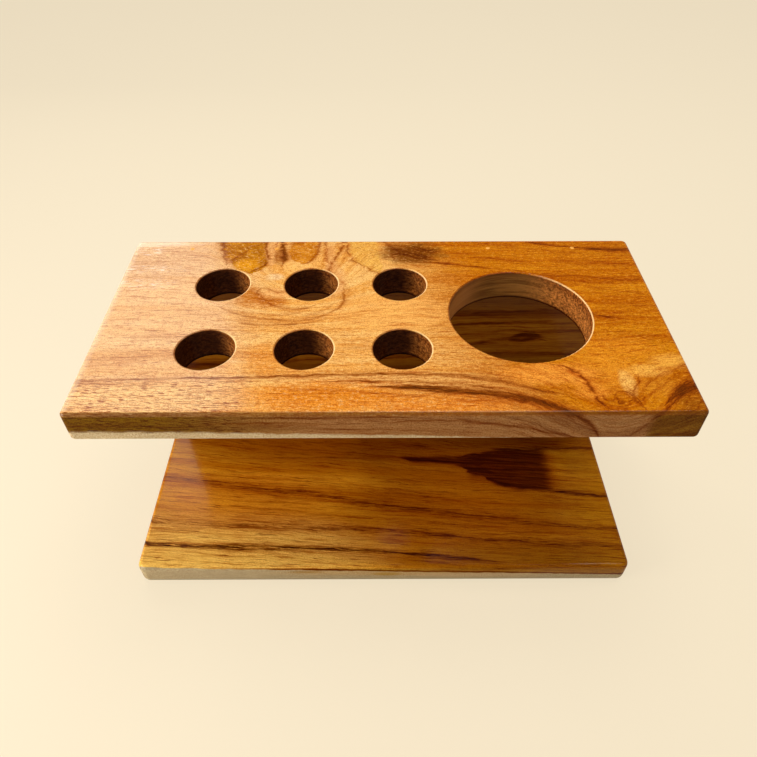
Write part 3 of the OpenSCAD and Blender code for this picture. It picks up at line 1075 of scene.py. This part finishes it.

# %% [markdown]
# ## The bottom board: grain and washes
#
# The rings slant a little towards the right. The front left is the palest part: partly the
# wood and partly painted light from a low lamp at the left. The back lies in the brown of the
# heart, and the dark washes there, in the middle and towards the right also hold some of the
# shade that the top board casts, painted on. The paler right end is a painted reflection.
# The front edge shows a strip of heartwood above a broad band of sapwood with stains and a
# rusty line between the two.

# %% Grain and washes of the bottom board
BOTTOM_GRAIN = {
    # length and width of a mark in mm, seed, detail, roughness
    "bands": (260, 8, 5.7, 2.0, 0.5),
    "strokes": (50, 1.6, 8.1, 3.0, 0.65),
    "fibres": (9, 0.5, 3.3, 2.0, 0.7),
    "hairs": (20, 0.5, 2.2, 1.0, 0.6),
}
BOTTOM_TONES_LIGHT_AND_SHADE = [
    # (x, y, half width, half height), tint, amount
    # paler at the front left: partly the wood, partly painted light from the low lamp
    ((-118, 10, 140, 38), (255, 210, 104), 1.0),
    ((-90, 50, 70, 30), (220, 142, 30), 0.6),
    # darker at the back, in the middle and to the front right: the heart's brown and painted shade
    ((-40, 104, 150, 34), (152, 82, 4), 0.9),
    ((100, 110, 90, 26), (118, 60, 4), 0.9),
    ((46, 88, 90, 40), (112, 56, 4), 0.6),
    ((56, 44, 100, 46), (152, 84, 4), 0.8),
    ((95, 4, 110, 20), (150, 92, 8), 0.8),
    # paler at the right end: painted reflection
    ((146, 36, 34, 50), (196, 134, 14), 0.7),
    ((140, 84, 24, 20), (176, 116, 8), 0.7),
]


def saw_bottom_board():
    board = Board("bottom_board_teak", BOTTOM_RULER, (110, 9.0, 7), (12, 2.0))
    ruler = board.ruler
    slant = ruler.along * 0.06 + ruler.along * ruler.across * 0.0005
    board.grow(board.v + board.wander + slant, BOTTOM_GRAIN)
    board.dashes = grain(ruler, ruler.face, 4.5, 0.36, 6.9, 0.0)
    return board


def tone_bottom_board_with_painted_light(board):
    colour = blend(board.tone, swatch(190, 112, 6), swatch(224, 156, 32))
    colour = wash(board.ruler, colour, BOTTOM_TONES_LIGHT_AND_SHADE)
    edge_tone = blend(board.tone, swatch(158, 106, 18), swatch(184, 136, 40))
    colour = blend(smooth(board.ruler.face, 0.5, -2.0), colour, edge_tone)
    colour = stain(colour, smooth(board.strokes, 0.52, 0.28) * 0.8, swatch(204, 150, 70))
    colour = stain(colour, smooth(board.fibres, 0.54, 0.24) * 0.7, swatch(200, 150, 80))
    return stain(colour, smooth(board.hairs, 0.42, 0.28) * 0.8, swatch(160, 100, 44))


print("washes on the bottom board:", len(BOTTOM_TONES_LIGHT_AND_SHADE))

# %% [markdown]
# ## The bottom board: resin flame and sapwood
#
# The flame flickers because its outline is read through the streaks of the grain. The
# sapwood is drawn the same way on both boards, pale and fibrous, but here it covers
# most of the edge, so it also gets the stains that a pale edge picks up in use. The
# coat is thin in the middle and fuller towards the ends. Real varnish is even: this is
# a choice for the look, which keeps the figure free of mirrored glare.

# %% Flame and sapwood of the bottom board
SAPWOOD_SLANT = 0.033
SAPWOOD_STAINS = [
    # (x, y, half width, half height), tint, amount
    ((-47, -4.2, 15, 1.8), (150, 116, 60), 0.8),
    ((2, -6.6, 12, 2.6), (150, 116, 24), 0.9),
    ((30, -5.0, 120, 5.0), (206, 166, 100), 0.5),
    ((60, -8.5, 50, 3), (200, 176, 140), 0.6),
]


def ink_bottom_board(board, colour):
    ink = Pencil(board.ruler.along, board.v).drawing(BOTTOM_STREAKS, 1.1)
    ink = broken(ink, smooth(board.streaks, 0.66, 0.36) * 1.3, 0.6)
    x = board.ruler.along + board.ragged * 2
    flicker = Pencil(x, board.v + (board.strokes - 0.5) * 4)
    veil = flicker.fill(BOTTOM_FLAME, 2.4) * 0.84
    veil = veil.most(flicker.drawing(FLAME_CORES, 1.3))
    veil = broken(veil, smooth(board.strokes, 0.62, 0.42), 0.2) * smooth(x, 124.0, 108.0)
    return darken(colour, ink.most(veil), swatch(44, 8, 3))


def bottom_sapwood(board, colour):
    ruler = board.ruler
    sap_edge = board.v + ruler.along * SAPWOOD_SLANT + board.ragged * 0.2
    sap = smooth(sap_edge, -3.2, -4.2)
    pale = blend(board.fibres, swatch(142, 126, 92), swatch(210, 194, 160))
    colour = blend(sap, colour, pale)
    colour = wash(ruler, colour, SAPWOOD_STAINS, within=sap)
    # greyer towards the foot of the edge
    greyer_near_foot = smooth(ruler.face, -10.0, -13.5)
    colour = blend(greyer_near_foot * 0.7 * sap, colour, swatch(172, 164, 140))
    rust = smooth(abs(sap_edge + 2.6), 1.2, 0.2) * smooth(ruler.face, 0.5, -1.0)
    colour = stain(colour, rust, swatch(160, 104, 40))
    return stain(colour, smooth(specks(board), 0.62, 0.32) * 0.5, swatch(180, 140, 90))


def bottom_board_teak():
    board = saw_bottom_board()
    colour = ink_bottom_board(board, tone_bottom_board_with_painted_light(board))
    colour = end_grain(board.ruler, bottom_sapwood(board, colour))
    height = smooth(board.dashes, 0.42, 0.30) * -0.3
    towards_ends = smooth(abs(board.ruler.along), 70.0, 104.0)
    coat = towards_ends * 0.22 + 0.06
    return board.bench.finish(varnish(board.bench, colour, 0.36, height, coat))


print("stains on the sapwood:", len(SAPWOOD_STAINS) + 1)

# %% [markdown]
# ## The back board
#
# From above, only a glimpse of the back board shows, through the large hole: dark streaks
# and one solid eye. The same rings run through the board, so its back shows them too. Its
# grain is that of the bottom board with other seeds, since all planks are one species.
# Two stains make it darker low down and near the top: that is painted shade, not wood. Its
# base colour is darker than that of the other boards, which is partly painted shade too.

# %% Rings of the back board
BACK_STREAKS = [
    (0.70, [(-160, 101, 1.2), (-60, 98, 1.5), (20, 94, 1.2), (60, 95, 1.6), (100, 97, 1.4),
            (155, 99, 1.4)]),
    (0.90, [(-160, 92, 1.2), (-70, 90, 1.5), (30, 85, 1.4), (60, 86, 1.8), (90, 87.5, 1.6),
            (120, 86, 1.2), (155, 88, 1.2)]),
    (0.80, [(-160, 76, 2), (-50, 78, 2), (40, 77, 1.4), (70, 78.5, 1.8), (85, 80.5, 1.6),
            (100, 79, 1.4), (155, 80, 1.4)]),
    (0.90, [(-160, 62, 1.6), (-60, 65, 1.6), (30, 66, 1.4), (62, 69, 2.2), (80, 73, 3.0),
            (92, 74, 3.8), (104, 73, 2.0), (112, 71, 0)]),
    (0.80, [(-160, 50, 2), (-40, 55, 2), (50, 58, 1.8), (90, 61, 2), (110, 60, 1.8), (155, 58, 1.6)]),
    (0.70, [(-160, 34, 2), (0, 38, 2), (155, 40, 2)]),
]
BACK_EYE = [(80, 73.5, 0), (85, 73, 2.4), (91, 74, 4.2), (98, 75, 4.4), (104, 74.6, 2.2),
            (112, 73.5, 0)]
BACK_GRAIN = {
    # length and width of a mark in mm, seed, detail, roughness
    "bands": (260, 6, 3.7, 2.0, 0.5),
    "strokes": (50, 1.6, 2.1, 3.0, 0.65),
    "fibres": (9, 0.5, 1.3, 2.0, 0.7),
}
print("rings drawn on the back board:", len(BACK_STREAKS))

# %% Finished back board
BACK_COAT = 0.15


def back_board_teak():
    board = Board("back_board_teak", BACK_RULER, (110, 5.0, 9), (12, 7.0))
    ruler = board.ruler
    board.grow(board.v + board.wander, BACK_GRAIN)
    dashes = grain(ruler, ruler.face, 3.6, 0.34, 6.9, 0.0)
    # base colour darker than the other boards: partly painted shade
    colour = blend(board.tone, swatch(106, 58, 8), swatch(134, 88, 20))
    colour = stain(colour, smooth(board.strokes, 0.52, 0.28) * 0.8, swatch(200, 144, 80))
    colour = stain(colour, smooth(board.fibres, 0.54, 0.24) * 0.7, swatch(190, 140, 80))
    ink = Pencil(ruler.along, board.v).drawing(BACK_STREAKS, 1.2) * 0.75
    eye = Pencil(ruler.along, board.v + (board.strokes - 0.5) * 6).fill(BACK_EYE, 2.2)
    ink = broken(ink.most(eye * 0.9), smooth(board.streaks, 0.66, 0.36) * 1.3, 0.4)
    colour = darken(colour, ink, swatch(50, 16, 2))
    # painted shade: darker low down and near the top
    colour = stain(colour, smooth(ruler.across, 70.0, 40.0), swatch(190, 176, 150))
    colour = stain(colour, smooth(ruler.across, 84.0, 108.0), swatch(196, 184, 176))
    colour = end_grain(ruler, colour)
    height = smooth(dashes, 0.38, 0.26) * -0.3
    return board.bench.finish(varnish(board.bench, colour, 0.4, height, BACK_COAT))


print("scales of grain in the back board:", len(BACK_GRAIN))

# %% [markdown]
# ## Filler and nails
#
# A nail is punched below the face and the hole is stopped with filler, sanded flush.
# Filler has no grain, only grit, so two plain noises are enough. The nails are inside
# the wood. They still get a finish, for whoever takes the stand apart.

# %% Filler and nails
GRIT_PER_METRE, CLUMPS_PER_METRE = 2500.0, 700.0
GRIT_DEPTH, FILLER_COAT = 0.0001, 0.1
SCRATCHES_PER_METRE, SCRATCH_DEPTH = 3000.0, 0.00005
RUST_PER_METRE = 450.0


def wood_filler():
    """Filler is sanded flush: pale, matt and a little gritty."""
    bench = Bench.named("wood_filler")
    place = bench.add("ShaderNodeTexCoord", {}, out="Object")
    grit = bench.add("ShaderNodeTexNoise", {}, Vector=place, Scale=GRIT_PER_METRE,
                     Detail=2.0)
    clump = bench.add("ShaderNodeTexNoise", {}, Vector=place, Scale=CLUMPS_PER_METRE,
                      Detail=1.0)
    colour = blend(smooth(clump, 0.35, 0.65), swatch(226, 150, 58), swatch(244, 178, 86))
    colour = stain(colour, smooth(grit, 0.55, 0.30) * 0.5, swatch(190, 150, 110))
    return bench.finish(varnish(bench, colour, 0.6, grit, FILLER_COAT, GRIT_DEPTH))


def nail_steel():
    """Bright drawn wire with faint scratches left by the die and a breath of rust."""
    bench = Bench.named("nail_steel")
    place = bench.add("ShaderNodeTexCoord", {}, out="Object")
    blotch = bench.add("ShaderNodeTexNoise", {}, Vector=place, Scale=RUST_PER_METRE,
                       Detail=3.0)
    scratch = bench.add("ShaderNodeTexNoise", {}, Vector=place, Scale=SCRATCHES_PER_METRE,
                        Detail=1.0)
    rust = smooth(blotch, 0.56, 0.72)
    colour = blend(rust, swatch(176, 174, 170), swatch(122, 78, 48))
    roughness = scratch * 0.3 + rust * 0.3 + 0.2
    bump = bench.add("ShaderNodeBump", {}, Strength=0.4, Distance=SCRATCH_DEPTH,
                     Height=scratch)
    return bench.finish(bench.add("ShaderNodeBsdfPrincipled", {}, Base_Color=colour,
                                  Metallic=1 - rust * 0.8, Roughness=roughness, Normal=bump))


print("filler grit:", MM_IN_A_METRE / GRIT_PER_METRE, "mm")

# %% [markdown]
# ## Dress the CAD nodes
#
# Each CAD node gets the finish of its kind, found by a word in its name. The shapes are
# left alone: only the material slots change.

# %% Dress the CAD nodes
looks = {"top_board": top_board_teak(), "bottom_board": bottom_board_teak(),
         "back_board": back_board_teak(), "nails": nail_steel(), "plug": wood_filler()}
for name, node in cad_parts.items():
    look = next(look for part, look in looks.items() if part in name)
    node.data.materials.clear()
    node.data.materials.append(look)
print("shader nodes:", {part: len(look.node_tree.nodes) for part, look in looks.items()})

# %% [markdown]
# ## Floor and backdrop
#
# The stand is shown on a sheet of cream paper. More light would bleach the varnish, so
# the paper itself is seen as bright: rays from the eye, and rays that come off the
# varnish, meet mostly a glow. A share of plain diffuse paper is kept for the shadow.

# %% Floor
FLOOR_HALF = 3.0
FLOOR_BELOW = 0.0005
GLOW_SHARE = 0.8


def seen_rays(bench):
    """1 for rays from the eye, and 1 for rays by way of gloss or clear things."""
    rays = bench.add("ShaderNodeLightPath", {}).outputs()
    return rays["Is Camera Ray"], rays["Is Glossy Ray"].most(rays["Is Transmission Ray"])


def add_floor():
    mesh = bpy.data.meshes.new("floor")
    turns = [(-1, -1), (1, -1), (1, 1), (-1, 1)]
    corners = [(FLOOR_HALF * x, FLOOR_HALF * y, -FLOOR_BELOW) for x, y in turns]
    mesh.from_pydata(corners, [], [(0, 1, 2, 3)])
    floor = bpy.data.objects.new("floor", mesh)
    bpy.context.collection.objects.link(floor)
    bench = Bench.named("floor")
    paper = bench.add("ShaderNodeBsdfDiffuse", {}, CREAM)
    glow = bench.add("ShaderNodeEmission", {}, CREAM, 1.0)
    eye, mirrored = seen_rays(bench)
    share = eye.most(mirrored) * GLOW_SHARE
    mesh.materials.append(bench.finish(bench.add("ShaderNodeMixShader", {}, share, paper, glow)))
    return floor


floor = add_floor()
print("the", floor.name, "is", FLOOR_HALF * 2, "m wide")

# %% [markdown]
# ## The room
#
# The world is a room: a pale wall round the horizon under a dim ceiling, a little
# brighter on the left. The dim ceiling keeps the varnish dark where it mirrors upwards.
# The eye never sees this room but the same cream as the floor, and so does the gloss
# where it looks at the wall.


# %% Room
def light_room():
    world = bpy.data.worlds.new("room")
    bpy.context.scene.world = world
    bench = Bench(world)
    place = bench.add("ShaderNodeTexCoord", {}, out="Generated")
    axes = bench.add("ShaderNodeSeparateXYZ", {}, place).outputs()
    wall = smooth(axes["Z"], 0.50, 0.26)
    left = smooth(axes["X"] * -0.9 + axes["Y"] * -0.1 + axes["Z"] * 0.3, 0.0, 0.9)
    strength = wall * 0.6 + 0.1 + left * 0.35
    room = bench.add("ShaderNodeBackground", {}, swatch(255, 246, 232), strength)
    backdrop = bench.add("ShaderNodeBackground", {}, CREAM, 1.0)
    eye, mirrored = seen_rays(bench)
    seen = eye.most(mirrored * wall)
    return bench.finish(bench.add("ShaderNodeMixShader", {}, seen, room, backdrop),
                        "ShaderNodeOutputWorld")


print("room nodes:", len(light_room().node_tree.nodes))

# %% [markdown]
# ## Lamps
#
# Three soft boxes light the stand. A window behind it on the left is what the varnish
# mirrors there. A large panel overhead gives the plain light, and a low one at the left
# reaches in under the top board and onto the right walls of the holes. Each is given by
# its radiance, so that its size can change without changing how bright it looks.

# %% Soft boxes
WARM_WHITE = (1.0, 0.97, 0.90)
SOFT_BOXES = {
    # place, aim, (width, height) in metres, radiance
    "window": ((-0.525, 0.75, 0.80), (-0.525, 0.0, 0.80), (0.45, 0.70), 4.5),
    "overhead": ((0.15, 0.2, 1.15), (0.0, 0.0, 0.1), (0.8, 0.6), 5.75),
    "left": ((-0.6, -0.25, 0.26), (-0.05, 0.0, 0.03), (0.35, 0.3), 10.0),
}


def add_soft_box(name, place, aim, size, radiance):
    lamp = bpy.data.lights.new(name, "AREA")
    lamp.shape = "RECTANGLE"
    lamp.size, lamp.size_y = size
    lamp.energy = radiance * size[0] * size[1] * math.pi
    lamp.color = WARM_WHITE
    box = bpy.data.objects.new(name, lamp)
    bpy.context.collection.objects.link(box)
    ahead = (Vector(aim) - Vector(place)).normalized()
    box.rotation_euler = ahead.to_track_quat("-Z", "Y").to_euler()
    box.location = place
    return round(lamp.energy, 2)


print("watts:", {name: add_soft_box(name, *settings) for name, settings in SOFT_BOXES.items()})

# %% [markdown]
# ## Plain colour
#
# The Standard view shows colours as they were mixed.

# %% Colour view
bpy.context.scene.view_settings.view_transform = "Standard"
print("view transform:", bpy.context.scene.view_settings.view_transform)
